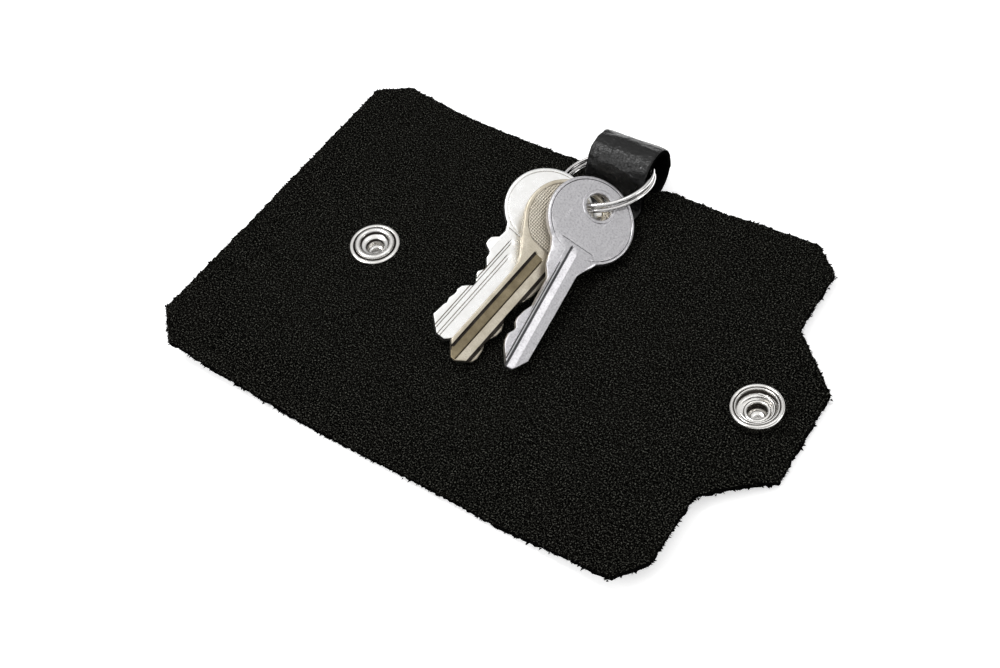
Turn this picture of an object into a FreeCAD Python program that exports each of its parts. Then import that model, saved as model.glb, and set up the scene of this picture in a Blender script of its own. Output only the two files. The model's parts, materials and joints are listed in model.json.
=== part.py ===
import FreeCAD, Part
import math
import os

V = FreeCAD.Vector
os.makedirs("parts", exist_ok=True)

# leather blank, flat
leather = 1.5
case_width = 100.0
corner_cut = 6.85
tab_length = 13.5
tab_root_width = 49.3
tab_end_width = 24.7
socket_past_root = 2.0

# folds
left_flap = 40.0
key_room = 16.4
middle_width = 34.2
edge_width = 7.6
fold_gap = 0.2
left_spine_tilt = 6.0
left_panel_tilt = 5.0
left_edge_tilt = 18.0
right_spine_tilt = 2.5
right_panel_tilt = 3.5

# press stud
socket_from_fold = 25.8
socket_height = 2.6
socket_d = 11.9
socket_floor = 0.5
socket_wall = 0.7
socket_lip = 1.0
post_d = 5.0
post_bore = 4.2
post_roll_d = 6.2
post_top = 0.95
cap_d = 12.4
cap_dome = 1.25
stud_flange_d = 9.6
stud_flange = 0.45
stud_clear = 0.35
knob_d = 6.0
neck_d = 5.0
knob_head = 0.75
eyelet_d = 12.8
eyelet_rise = 0.9
eyelet_bore = 3.8
eyelet_barrel_d = 4.4
eyelet_washer = 1.1
washer_rise = 0.35
spring_wire = 0.55
spring_offset = 3.35
fit_gap = 0.08

# loop
loop_width = 17.0
loop_thick = 1.5
loop_bore = 5.5
loop_x = 3.5
loop_in = 0.7
loop_root_mid = 0.9
loop_foot_in = 9.0
loop_end_in = 17.5
rivet_in = 13.6
rivet_head_d = 8.0
rivet_head = 0.7
rivet_post_d = 3.0
rivet_cap_d = 8.0
rivet_cap_rise = 1.1

# ring
ring_r = 11.7
ring_x = 2.0
ring_past_axis = 3.7
ring_lift = 0.15
ring_wire = 1.1
ring_pitch = 1.48
ring_slope = 8.0
ring_tilt = 12.5
ring_cross = 30.0

# keys: distances along a key run from its hole towards its tip
bow_r = 11.4
hole_d = 7.0
hole_bevel = 0.35
hole_to_bow = 4.6
key_thick = 1.8
blade_thick = 2.0
rim_width = 0.8
rim_rise = 0.12
hole_rim_width = 1.1
panel_inset = 1.5
panel_depth = 0.2
cut_flat = 1.0
tip_width = 2.4

# shank start, width and end, flare to the blade, blade's halves on its cut and plain side, length, point
front_form = (11.4, 9.6, 13.4, 3.1, 3.9, 3.1, 47.4, 4.5)
middle_form = (12.0, 11.6, 15.5, 3.0, 5.0, 2.8, 49.2, 3.6)
rear_form = (14.2, 11.0, 19.0, 0.6, 4.2, 3.6, 47.7, 3.6)
# cuts: distance, depth
front_cuts = [(24.2, 0.9), (27.8, 1.3), (31.4, 0.9), (38.3, 0.9)]
middle_cuts = [(28.6, 1.9), (32.4, 2.3), (40.0, 2.0)]
rear_cuts = [(26.9, 2.1), (31.6, 2.9), (36.3, 0.9), (40.4, 0.8)]
# grooves: side offset, width, depth, start
front_grooves = [(1.6, 1.5, 0.55, 15.0), (-1.2, 1.2, 0.5, 13.5)]
front_back_groove = (0.2, 1.3, 0.45, 15.0)
middle_grooves = [(-1.2, 1.6, 0.55, 15.5), (1.3, 1.1, 0.45, 17.0)]
rear_grooves = [(-1.3, 1.5, 0.55, 19.0), (1.5, 1.2, 0.5, 18.0)]
stop_d = 3.4
stop_out = 1.8
stop_from_hole = 20.6

# place of each key: angle round the ring, hole's offset from the wire in y and z, then yaw, roll and pitch
front_at = 20.8
middle_at = 1.0
rear_at = -38.4
front_hang = (0.53, 0.01)
middle_hang = (-1.4, -0.24)
rear_hang = (-1.18, 0.46)
front_set = (5.8, 35.5, 4.2)
middle_set = (-8.0, 34.0, 9.9)
rear_set = (-6.2, 26.0, 7.0)

half = case_width / 2
loop_y = half - loop_in
loop_foot_y = half - loop_foot_in
loop_end_y = half - loop_end_in
rivet_y = half - rivet_in
left_panel_at = left_flap
left_fold_at = left_panel_at + key_room
right_fold_at = left_fold_at + middle_width
mid_s = (left_fold_at + right_fold_at) / 2
snap_gap = socket_height + stud_flange + stud_clear
right_spine_width = key_room + leather + snap_gap
right_panel_at = right_fold_at + right_spine_width
stud_from_fold = middle_width - socket_from_fold
socket_s = right_panel_at + socket_from_fold
stud_s = left_panel_at - stud_from_fold
blank_length = socket_s - socket_past_root
stud_height = snap_gap - post_top - stud_clear


def x_of(s):
    return s - mid_s


def face_of(points):
    return Part.Face(Part.makePolygon([V(*p) for p in points + points[:1]]))


def plate(outline, bottom, top):
    return face_of([(x, y, bottom) for x, y in outline]).extrude(V(0, 0, top - bottom))


def rod(diameter, bottom, top, x=0.0, y=0.0):
    return Part.makeCylinder(diameter / 2, top - bottom, V(x, y, bottom))


def turned(profile):
    return face_of([(r, 0, z) for r, z in profile]).revolve(V(), V(0, 0, 1), 360)


def turn(shape, at, axis, angle):
    out = shape.copy()
    out.rotate(V(*at), V(*axis), angle)
    return out


def raise_left(shape, s, angle):
    return turn(shape, (x_of(s), 0, leather), (0, 1, 0), angle)


def raise_right(shape, s, angle):
    return turn(shape, (x_of(s), 0, leather), (0, -1, 0), angle)


def on_left_spine(shape):
    return raise_left(shape, left_fold_at, left_spine_tilt)


def on_left_panel(shape):
    return on_left_spine(raise_left(shape, left_panel_at, left_panel_tilt - left_spine_tilt))


def on_left_edge(shape):
    return on_left_panel(raise_left(shape, edge_width, left_edge_tilt - left_panel_tilt))


def on_right_spine(shape):
    return raise_right(shape, right_fold_at, right_spine_tilt)


def on_right_panel(shape):
    return on_right_spine(raise_right(shape, right_panel_at, right_panel_tilt - right_spine_tilt))


def save(name, shape):
    solid = shape.removeSplitter()
    solid = solid.Solids[0] if len(solid.Solids) == 1 else solid
    solid.exportStep("parts/" + name + ".step")


# leather, each part cut from the flat blank and turned to its rest angle
def strip(start, end):
    a = x_of(start) + fold_gap / 2
    b = x_of(end) - fold_gap / 2
    return plate([(a, -half), (b, -half), (b, half), (a, half)], 0, leather)


edge_start = x_of(0)
edge_end = x_of(edge_width) - fold_gap / 2
edge_outline = [
    (edge_start + corner_cut, -half),
    (edge_end, -half),
    (edge_end, half),
    (edge_start + corner_cut, half),
    (edge_start, half - corner_cut),
    (edge_start, corner_cut - half),
]
tab_root = x_of(blank_length)
tab_tip = x_of(blank_length + tab_length)
panel_start = x_of(right_panel_at) + fold_gap / 2
panel_outline = [
    (panel_start, -half),
    (tab_root - corner_cut, -half),
    (tab_root, corner_cut - half),
    (tab_root, -tab_root_width / 2),
    (tab_tip, -tab_end_width / 2),
    (tab_tip, tab_end_width / 2),
    (tab_root, tab_root_width / 2),
    (tab_root, half - corner_cut),
    (tab_root - corner_cut, half),
    (panel_start, half),
]
socket_x = x_of(socket_s)
stud_x = x_of(stud_s)
post_hole = rod(post_d + 2 * fit_gap, -1, leather + 1, socket_x)
barrel_hole = rod(eyelet_barrel_d + 2 * fit_gap, -1, leather + 1, stud_x)
rivet_hole = rod(rivet_post_d + 2 * fit_gap, -1, leather + 1, loop_x, rivet_y)
rivet_seat = rod(rivet_head_d + 2 * fit_gap, -1, rivet_head, loop_x, rivet_y)

save("middle_panel", strip(left_fold_at, right_fold_at).cut(rivet_hole).cut(rivet_seat))
save("left_spine", on_left_spine(strip(left_panel_at, left_fold_at)))
save("left_panel", on_left_panel(strip(edge_width, left_panel_at).cut(barrel_hole)))
save("left_edge", on_left_edge(plate(edge_outline, 0, leather)))
save("right_spine", on_right_spine(strip(right_fold_at, right_panel_at)))
save("right_panel", on_right_panel(plate(panel_outline, 0, leather).cut(post_hole)))

# loop: leaves the panel's edge, arches over and comes down on the inside face
mid_r = loop_bore + loop_thick / 2
loop_z = loop_root_mid + math.sqrt(mid_r ** 2 - (half - loop_y) ** 2)
foot_z = leather + loop_thick / 2
run_y = loop_foot_y - loop_y
run_z = foot_z - loop_z
reach = math.hypot(run_y, run_z)
lean = math.atan2(run_z, run_y) - math.acos(mid_r / reach)
root_angle = -math.acos((half - loop_y) / mid_r)


def at_arch(r, angle):
    return (0, loop_y + r * math.cos(angle), loop_z + r * math.sin(angle))


def arch_edge(r, start, end):
    return Part.Arc(V(*at_arch(r, start)), V(*at_arch(r, (start + end) / 2)), V(*at_arch(r, end))).toShape()


if lean < 0:
    lean += 2 * math.pi
outer_r = loop_bore + loop_thick
inner_root = -math.acos((half - loop_y) / loop_bore)
outer_root = -math.acos((half - loop_y) / outer_r)
arch = Part.Wire([
    arch_edge(outer_r, outer_root, lean),
    Part.makeLine(V(*at_arch(outer_r, lean)), V(*at_arch(loop_bore, lean))),
    arch_edge(loop_bore, lean, inner_root),
    Part.makeLine(V(*at_arch(loop_bore, inner_root)), V(*at_arch(outer_r, outer_root))),
])
leg_length = math.sqrt(reach ** 2 - mid_r ** 2)
leg_y = -math.sin(lean)
leg_z = math.cos(lean)
bend = math.tan(math.acos(-leg_y) / 2) * loop_thick / 2


def on_leg(r, along):
    y = loop_y + r * math.cos(lean) + along * leg_y
    z = loop_z + r * math.sin(lean) + along * leg_z
    return (0, y, z)


leg = face_of([
    on_leg(loop_bore, 0),
    on_leg(outer_r, 0),
    on_leg(outer_r, leg_length - bend),
    (0, loop_end_y, leather + loop_thick),
    (0, loop_end_y, leather),
    on_leg(loop_bore, leg_length + bend),
])
across = V(loop_width, 0, 0)
loop = Part.Face(arch).extrude(across).fuse(leg.extrude(across))
loop.translate(V(loop_x - loop_width / 2, 0, 0))
loop_hole = rod(rivet_post_d + 2 * fit_gap, 0, leather + 2 * loop_thick, loop_x, rivet_y)
save("key_loop", loop.cut(loop_hole))

rivet_top = leather + loop_thick
rivet_post = rod(rivet_head_d, 0, rivet_head).fuse(rod(rivet_post_d, 0, rivet_top + 0.6))
rivet_post.translate(V(loop_x, rivet_y, 0))
save("loop_rivet_post", rivet_post)
cap_r = rivet_cap_d / 2
rivet_cap = turned([
    (0, 0.7),
    (rivet_post_d / 2 + fit_gap, 0.7),
    (rivet_post_d / 2 + fit_gap, 0),
    (cap_r, 0),
    (cap_r, 0.35),
    (cap_r * 0.8, rivet_cap_rise * 0.75),
    (cap_r * 0.45, rivet_cap_rise * 0.95),
    (0, rivet_cap_rise),
])
rivet_cap.translate(V(loop_x, rivet_y, rivet_top))
save("loop_rivet_cap", rivet_cap)

# press stud, spring half on the tab: drawn upwards from the leather's inside face
socket_r = socket_d / 2
socket = turned([
    (post_d / 2 + fit_gap, 0),
    (socket_r - 0.5, 0),
    (socket_r, 0.5),
    (socket_r, socket_height - 0.5),
    (socket_r - 0.4, socket_height),
    (socket_r - socket_wall - socket_lip, socket_height),
    (socket_r - socket_wall - socket_lip, socket_height - 0.35),
    (socket_r - socket_wall, socket_height - 0.45),
    (socket_r - socket_wall, socket_floor),
    (post_d / 2 + fit_gap, socket_floor),
])
cap_post = turned([
    (post_bore / 2, -leather),
    (post_bore / 2, post_top - 0.2),
    (post_bore / 2 + 0.4, post_top),
    (post_roll_d / 2 - 0.25, post_top),
    (post_roll_d / 2, post_top - 0.2),
    (post_roll_d / 2, socket_floor + fit_gap),
    (post_d / 2, socket_floor + fit_gap),
    (post_d / 2, -leather),
])
dome_r = cap_d / 2
cap_shell = turned([
    (0, -leather),
    (dome_r, -leather),
    (dome_r, -leather - 0.4),
    (dome_r * 0.85, -leather - cap_dome * 0.75),
    (dome_r * 0.5, -leather - cap_dome * 0.96),
    (0, -leather - cap_dome),
])
spring_r = socket_r - socket_wall - spring_wire / 2 - fit_gap
spring_z = socket_height - 0.45 - spring_wire / 2 - 2 * fit_gap
spring_y = math.sqrt(spring_r ** 2 - spring_offset ** 2)
spring_points = [V(-spring_offset, y * spring_y, spring_z) for y in (-1.0, -0.5, 0.0, 0.5)]
for angle in range(130, 49, -10):
    spring_points.append(V(spring_r * math.cos(math.radians(angle)), spring_r * math.sin(math.radians(angle)), spring_z))
spring_points += [V(spring_offset, y * spring_y, spring_z) for y in (0.5, 0.0, -0.5, -1.0)]
spring_curve = Part.BSplineCurve()
spring_curve.interpolate(spring_points)
spring_end = Part.Wire(Part.makeCircle(spring_wire / 2, spring_points[0], V(0, 1, 0)))
spring = Part.Wire(spring_curve.toShape()).makePipeShell([spring_end], True, False)
for name, piece in (
    ("snap_socket", socket),
    ("snap_cap", cap_shell.fuse(cap_post)),
    ("snap_spring", spring),
):
    piece.translate(V(socket_x, 0, leather))
    save(name, on_right_panel(piece))

# press stud, other half on the left panel: eyelet above the leather, stud below
eyelet_r = eyelet_d / 2
washer_in = eyelet_r - eyelet_washer
eyelet = turned([
    (eyelet_bore / 2, -leather - stud_flange),
    (eyelet_bore / 2, -leather * 0.4),
    (eyelet_bore / 2 + 0.5, 0.1),
    (eyelet_bore / 2 + 1.2, eyelet_rise * 0.4),
    (eyelet_bore / 2 + 1.9, eyelet_rise * 0.9),
    (washer_in - 0.9, eyelet_rise),
    (washer_in - 0.4, eyelet_rise * 0.7),
    (washer_in - 0.15, washer_rise * 0.5),
    (washer_in, washer_rise * 0.5),
    (washer_in + 0.1, washer_rise),
    (eyelet_r - 0.2, washer_rise),
    (eyelet_r, washer_rise * 0.5),
    (eyelet_r, 0),
    (eyelet_barrel_d / 2, 0),
    (eyelet_barrel_d / 2, -leather - stud_flange),
])
flange_r = stud_flange_d / 2
knob_r = knob_d / 2
stud_foot = -leather - stud_height
stud = turned([
    (eyelet_barrel_d / 2 + fit_gap, -leather),
    (flange_r, -leather),
    (flange_r, -leather - 0.25),
    (flange_r - 0.3, -leather - stud_flange),
    (neck_d / 2, -leather - stud_flange),
    (neck_d / 2, stud_foot + knob_head),
    (knob_r, stud_foot + knob_head - 0.2),
    (knob_r, stud_foot + 0.25),
    (knob_r - 0.3, stud_foot),
    (0, stud_foot),
    (0, stud_foot + 0.4),
    (eyelet_barrel_d / 2 + fit_gap, stud_foot + 0.4),
])
for name, piece in (("snap_eyelet", eyelet), ("snap_stud", stud)):
    piece.translate(V(stud_x, 0, leather))
    save(name, on_left_panel(piece))

# split ring: two turns that cross inside the loop
slope = math.radians(ring_slope)
tilt = math.radians(ring_tilt)
pivot = V(ring_x, loop_y, loop_z + ring_lift)
front = V(0, -math.cos(slope), math.sin(slope))
upright = V(0, math.sin(slope), math.cos(slope))
side = V(math.cos(tilt), 0, 0) + upright * math.sin(tilt)
ring_up = upright * math.cos(tilt) - V(math.sin(tilt), 0, 0)
ring_mid = pivot + front * (ring_r - ring_past_axis)


def on_ring(angle, rise=0.0):
    a = math.radians(angle)
    return ring_mid + front * (ring_r * math.cos(a)) + side * (ring_r * math.sin(a)) + ring_up * rise


def ring_rise(angle):
    t = min(max((angle + ring_cross) / (2 * ring_cross), 0.0), 1.0)
    return ring_pitch * (t * t * (3 - 2 * t) - 0.5)


end_gap = 4.0
ring_start = -360.0 + ring_cross + end_gap
ring_steps = 128
ring_points = []
for step in range(ring_steps + 1):
    turned_by = ring_start * (1 - 2 * step / ring_steps)
    ring_points.append(on_ring(180 + turned_by, ring_rise(turned_by)))
turn_steps = round(ring_steps * 270 / abs(2 * ring_start))
ring_gaps = []
for step, point in enumerate(ring_points):
    ring_gaps += [(point - other).Length - ring_wire for other in ring_points[step + turn_steps:]]
print("least gap between the ring's turns", round(min(ring_gaps), 3))
ring_curve = Part.BSplineCurve()
ring_curve.interpolate(ring_points)
ring_path = Part.Wire(ring_curve.toShape())
heading = ring_points[1] - ring_points[0]
ring_end = Part.Wire(Part.makeCircle(ring_wire / 2, ring_points[0], heading))
save("split_ring", ring_path.makePipeShell([ring_end], True, True))


# keys: drawn flat with the hole at the origin and the tip towards -y
def key_blank(form, cuts, cut_side):
    start, shank, shoulder, flare, cut_half, plain_half, length, point = form
    blade_mid = (cut_half - plain_half) / 2
    t = blade_thick / 2
    outline = [
        (shank / 2, -start),
        (shank / 2, -shoulder),
        (cut_half, -shoulder - flare),
        (cut_half, point - length),
        (blade_mid + tip_width / 2, -length),
        (blade_mid - tip_width / 2, -length),
        (-plain_half, point - length),
        (-plain_half, -shoulder - flare),
        (-shank / 2, -shoulder),
        (-shank / 2, -start),
    ]
    blade = plate([(cut_side * x, y) for x, y in outline], -t, t)
    for along, depth in cuts:
        floor = cut_side * (cut_half - depth)
        mouth = cut_side * (cut_half + blade_thick)
        low = cut_flat / 2
        wide = low + depth + blade_thick
        notch = [(floor, -along - low), (floor, low - along), (mouth, wide - along), (mouth, -along - wide)]
        blade = blade.cut(plate(notch, -blade_thick, blade_thick))
    return rod(2 * bow_r, -key_thick / 2, key_thick / 2, 0, -hole_to_bow).fuse(blade)


def rim(outer, inner, x, y):
    top = key_thick / 2 + rim_rise
    foot = key_thick / 2 - rim_rise
    return rod(outer, foot, top, x, y).cut(rod(inner, foot - key_thick, top + key_thick, x, y))


def groove(form, length, face):
    x, width, depth, start = form
    t = blade_thick / 2
    low = t - depth if face > 0 else -blade_thick
    high = blade_thick if face > 0 else depth - t
    w = width / 2
    end = -length - width
    slot = plate([(x - w, end), (x + w, end), (x + w, -start), (x - w, -start)], low, high)
    return slot.fuse(rod(width, low, high, x, -start))


def placed(shape, hole, yaw, roll, pitch):
    out = shape.copy()
    out.rotate(V(), V(0, 0, 1), yaw)
    out.rotate(V(), V(0, 1, 0), roll)
    out.rotate(V(), V(1, 0, 0), pitch)
    out.translate(hole)
    return out


hole_r = hole_d / 2
key_face = key_thick / 2
hole = turned([
    (0, -key_face - rim_rise),
    (hole_r + hole_bevel + rim_rise, -key_face - rim_rise),
    (hole_r, hole_bevel - key_face),
    (hole_r, key_face - hole_bevel),
    (hole_r + hole_bevel + rim_rise, key_face + rim_rise),
    (0, key_face + rim_rise),
])
bow_rim = rim(2 * bow_r, 2 * (bow_r - rim_width), 0, -hole_to_bow)
hole_rim = rim(hole_d + 2 * hole_rim_width, hole_d, 0, 0)

front_key = key_blank(front_form, front_cuts, -1).fuse(bow_rim).fuse(hole_rim)
for form in front_grooves:
    front_key = front_key.cut(groove(form, front_form[6], 1))
front_key = front_key.cut(groove(front_back_groove, front_form[6], -1)).cut(hole)

panel = rod(2 * (bow_r - panel_inset), key_face - panel_depth, key_thick, 0, -hole_to_bow)
panel = panel.cut(rod(hole_d + 2 * hole_rim_width, -key_thick, 2 * key_thick))
middle_key = key_blank(middle_form, middle_cuts, 1).cut(panel)
for form in middle_grooves:
    middle_key = middle_key.cut(groove(form, middle_form[6], 1))
middle_key = middle_key.cut(hole)

stop_x = -rear_form[4] - stop_out + stop_d / 2
stop_nub = rod(stop_d, -blade_thick / 2, blade_thick / 2, stop_x, -stop_from_hole)
rear_key = key_blank(rear_form, rear_cuts, -1).fuse(bow_rim).fuse(stop_nub)
for form in rear_grooves:
    rear_key = rear_key.cut(groove(form, rear_form[6], 1))
rear_key = rear_key.cut(hole)

save("key_rear", placed(rear_key, on_ring(rear_at) + V(0, *rear_hang), *rear_set))
save("key_middle", placed(middle_key, on_ring(middle_at) + V(0, *middle_hang), *middle_set))
save("key_front", placed(front_key, on_ring(front_at) + V(0, *front_hang), *front_set))
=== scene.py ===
import bpy
import json
import math
import random
import numpy as np
from mathutils import Matrix, Vector, noise
from mathutils.geometry import delaunay_2d_cdt


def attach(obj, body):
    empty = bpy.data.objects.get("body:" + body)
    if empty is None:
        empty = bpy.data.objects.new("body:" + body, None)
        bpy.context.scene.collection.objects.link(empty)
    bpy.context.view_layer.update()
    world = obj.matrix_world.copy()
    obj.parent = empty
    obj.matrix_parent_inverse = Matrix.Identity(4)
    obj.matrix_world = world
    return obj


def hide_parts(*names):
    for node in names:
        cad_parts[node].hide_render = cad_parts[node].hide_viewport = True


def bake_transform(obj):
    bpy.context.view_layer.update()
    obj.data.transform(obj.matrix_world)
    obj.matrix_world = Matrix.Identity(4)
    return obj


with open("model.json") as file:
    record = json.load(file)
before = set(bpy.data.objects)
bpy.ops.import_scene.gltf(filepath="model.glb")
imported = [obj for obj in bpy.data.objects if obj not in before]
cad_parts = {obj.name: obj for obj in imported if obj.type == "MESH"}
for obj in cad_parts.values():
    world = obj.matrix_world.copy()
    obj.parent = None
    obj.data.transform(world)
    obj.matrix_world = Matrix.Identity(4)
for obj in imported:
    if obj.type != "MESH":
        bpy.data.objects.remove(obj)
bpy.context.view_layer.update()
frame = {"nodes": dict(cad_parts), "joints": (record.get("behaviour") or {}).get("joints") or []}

scene = bpy.context.scene
scene.view_settings.view_transform = "Standard"
mm = 0.001
tiny = 1e-6
axisX = Vector((1, 0, 0))
axisZ = Vector((0, 0, 1))
jointAt = {j["name"]: Vector(j["pos_m"]) / mm for j in frame["joints"]}
print("frame loaded:", len(frame["nodes"]), "nodes")


# camera: the photograph's view, found from the blank's own outline
photoView = {
    "place": (125.68, -134.56, 229.33),
    "ahead": (-0.43064, 0.44037, -0.78780),
    "up": (-0.37370, 0.70753, 0.59979),
    "lens": 44.03,
    "sensor": 36.0,
    "clip": (0.01, 60.0),
}


def setCamera(view):
    ahead = Vector(view["ahead"]).normalized()
    up = Vector(view["up"]).normalized()
    side = ahead.cross(up).normalized()
    up = side.cross(ahead)
    turn = Matrix((side, up, -ahead)).transposed().to_4x4()
    data = bpy.data.cameras.new("photoCamera")
    data.lens = view["lens"]
    data.sensor_width = view["sensor"]
    data.sensor_fit = "HORIZONTAL"
    data.clip_start, data.clip_end = view["clip"]
    camera = bpy.data.objects.new("photoCamera", data)
    camera.matrix_world = Matrix.Translation(Vector(view["place"]) * mm) @ turn
    scene.collection.objects.link(camera)
    scene.camera = camera


setCamera(photoView)
print("camera set")


# small helpers for shader trees
def node(tree, kind, inputs=None, **settings):
    made = tree.nodes.new(kind)
    for key, value in settings.items():
        setattr(made, key, value)
    for key, value in (inputs or {}).items():
        if isinstance(value, bpy.types.NodeSocket):
            tree.links.new(value, made.inputs[key])
        else:
            made.inputs[key].default_value = value
    return made


def newGroup(name, numbers, outputs):
    tree = bpy.data.node_groups.new(name, "ShaderNodeTree")
    tree.interface.new_socket(name="Vector", in_out="INPUT", socket_type="NodeSocketVector")
    for label in numbers:
        tree.interface.new_socket(name=label, in_out="INPUT", socket_type="NodeSocketFloat")
    for label in outputs:
        tree.interface.new_socket(name=label, in_out="OUTPUT", socket_type="NodeSocketFloat")
    return tree, tree.nodes.new("NodeGroupInput").outputs


def closeGroup(tree, values):
    end = tree.nodes.new("NodeGroupOutput")
    for label, value in values.items():
        tree.links.new(value, end.inputs[label])
    return tree


def mapRange(tree, value, low, high, start=0.0, end=1.0):
    ends = {"Value": value, "From Min": low, "From Max": high, "To Min": start, "To Max": end}
    return node(tree, "ShaderNodeMapRange", ends).outputs["Result"]


def math2(tree, kind, a, b):
    return node(tree, "ShaderNodeMath", {0: a, 1: b}, operation=kind).outputs[0]


def cloud(tree, place, scale, detail, rough=0.5):
    settings = {"Vector": place, "Scale": scale, "Detail": detail, "Roughness": rough}
    return node(tree, "ShaderNodeTexNoise", settings).outputs


def mixColor(tree, factor, a, b):
    made = tree.nodes.new("ShaderNodeMix")
    made.data_type = "RGBA"
    for slot, value in ((0, factor), (6, a), (7, b)):
        if isinstance(value, bpy.types.NodeSocket):
            tree.links.new(value, made.inputs[slot])
        else:
            made.inputs[slot].default_value = value if slot == 0 else (*value, 1.0)
    return made.outputs[2]


def flatMap(tree):
    return node(tree, "ShaderNodeUVMap", uv_map="flat").outputs["UV"]


def addBump(tree, shader, height, strength, distance):
    normal = shader.inputs["Normal"]
    settings = {"Height": height, "Strength": strength, "Distance": distance}
    if normal.is_linked:
        settings["Normal"] = normal.links[0].from_socket
    tree.links.new(node(tree, "ShaderNodeBump", settings).outputs[0], normal)


# nap of the flesh side: loose fibre ends, pile height and brushed patches
nap = {
    "fibre": (260.0, 3.0, 0.8),      # scale, detail, roughness of each noise
    "pile": (170.0, 4.0, 0.65),
    "patch": (11.0, 3.0, 0.55),
    "fibreEnds": (0.43, 0.66),
    "fibreSharp": 4.0,
    "patchEnds": (0.35, 0.65),
    "rough": 0.95,
    "relief": 0.0006,
}


def makeNapGroup():
    tree, start = newGroup("suedeNap", [], ["Fibre", "Pile", "Patch"])
    parts = ("fibre", "pile", "patch")
    fine, pile, patch = [cloud(tree, start["Vector"], *nap[part])["Fac"] for part in parts]
    fibre = math2(tree, "POWER", mapRange(tree, fine, *nap["fibreEnds"]), nap["fibreSharp"])
    return closeGroup(tree, {"Fibre": fibre, "Pile": pile, "Patch": patch})


# grain side: pebbled cells with fine creases between them
grain = {
    "warp": (60.0, 2.0),
    "warpReach": 0.012,
    "crease": (5.0, 0.65),      # detail, roughness
    "creaseEnds": (0.38, 0.6),
    "creaseShare": 0.8,
    "pebbleEnd": 0.22,
    "pebbleShare": 0.6,
    "rub": (9.0, 3.0),
    "rubEnds": (0.3, 0.7),
}


def makeGrainGroup():
    tree, start = newGroup("hideGrain", ["Cell Scale", "Crease Scale"], ["Height", "Crease", "Rub"])
    flat = start["Vector"]
    warp = {0: cloud(tree, flat, *grain["warp"])["Color"], "Scale": grain["warpReach"]}
    shift = node(tree, "ShaderNodeVectorMath", warp, operation="SCALE").outputs[0]
    bent = node(tree, "ShaderNodeVectorMath", {0: flat, 1: shift}, operation="ADD").outputs[0]
    places = {"Vector": bent, "Scale": start["Cell Scale"]}
    cells = node(tree, "ShaderNodeTexVoronoi", places, feature="DISTANCE_TO_EDGE").outputs["Distance"]
    pebble = math2(tree, "MULTIPLY", mapRange(tree, cells, 0.0, grain["pebbleEnd"]), grain["pebbleShare"])
    crease = cloud(tree, bent, start["Crease Scale"], *grain["crease"])["Fac"]
    fold = mapRange(tree, crease, *grain["creaseEnds"])
    height = math2(tree, "ADD", pebble, math2(tree, "MULTIPLY", fold, grain["creaseShare"]))
    rub = cloud(tree, flat, *grain["rub"])["Fac"]
    return closeGroup(tree, {"Height": height, "Crease": fold, "Rub": rub})


# metal: speckle of the blasted or plated face, fine scratches and handled smudges
wear = {
    "speckleDetail": 2.0,
    "speckleEnds": (0.45, 0.75),
    "scratch": (520.0, 2.0),
    "scratchStretch": (1.0, 0.04, 1.0),
    "scratchEnds": (0.62, 0.72),
    "scratchRough": 0.12,
    "scratchDeep": -0.5,
    "smudge": (26.0, 4.0, 0.6),
    "smudgeEnds": (0.35, 0.7),
    "roughEnds": (0.3, 0.7),
    "relief": 0.0001,
}


def makeMetalGroup():
    tree, start = newGroup("metalMarks", ["Speckle Scale", "Scratch Turn"], ["Speckle", "Scratch", "Smudge"])
    flat = start["Vector"]
    speckle = cloud(tree, flat, start["Speckle Scale"], wear["speckleDetail"])["Fac"]
    turn = {"Vector": flat, "Angle": start["Scratch Turn"]}
    turned = node(tree, "ShaderNodeVectorRotate", turn, rotation_type="Z_AXIS").outputs[0]
    long = node(tree, "ShaderNodeMapping", {"Vector": turned, "Scale": wear["scratchStretch"]}).outputs[0]
    scratch = mapRange(tree, cloud(tree, long, *wear["scratch"])["Fac"], *wear["scratchEnds"])
    smudge = cloud(tree, flat, *wear["smudge"])["Fac"]
    return closeGroup(tree, {"Speckle": speckle, "Scratch": scratch, "Smudge": smudge})


napGroup = makeNapGroup()
grainGroup = makeGrainGroup()
metalGroup = makeMetalGroup()


def startMaterial(name, group):
    made = bpy.data.materials.new(name)
    made.use_nodes = True
    tree = made.node_tree
    marks = node(tree, "ShaderNodeGroup", node_tree=group)
    tree.links.new(flatMap(tree), marks.inputs["Vector"])
    return made, tree, tree.nodes["Principled BSDF"], marks


def suede(name, dark, light, fibre, bump):
    made, tree, shader, marks = startMaterial(name, napGroup)
    ground = mixColor(tree, mapRange(tree, marks.outputs["Patch"], *nap["patchEnds"]), dark, light)
    tree.links.new(mixColor(tree, marks.outputs["Fibre"], ground, fibre), shader.inputs["Base Color"])
    shader.inputs["Roughness"].default_value = nap["rough"]
    shader.inputs["Specular IOR Level"].default_value = 0.0
    addBump(tree, shader, marks.outputs["Pile"], bump, nap["relief"])
    return made


def hide(name, dark, light, cells, creases, gloss, shine, bump, relief):
    made, tree, shader, marks = startMaterial(name, grainGroup)
    marks.inputs["Cell Scale"].default_value = cells
    marks.inputs["Crease Scale"].default_value = creases
    tree.links.new(mixColor(tree, marks.outputs["Crease"], dark, light), shader.inputs["Base Color"])
    shader.inputs["Specular IOR Level"].default_value = shine
    rubbed = mapRange(tree, marks.outputs["Rub"], *grain["rubEnds"], *gloss)
    tree.links.new(rubbed, shader.inputs["Roughness"])
    addBump(tree, shader, marks.outputs["Height"], bump, relief)
    return made


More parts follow.
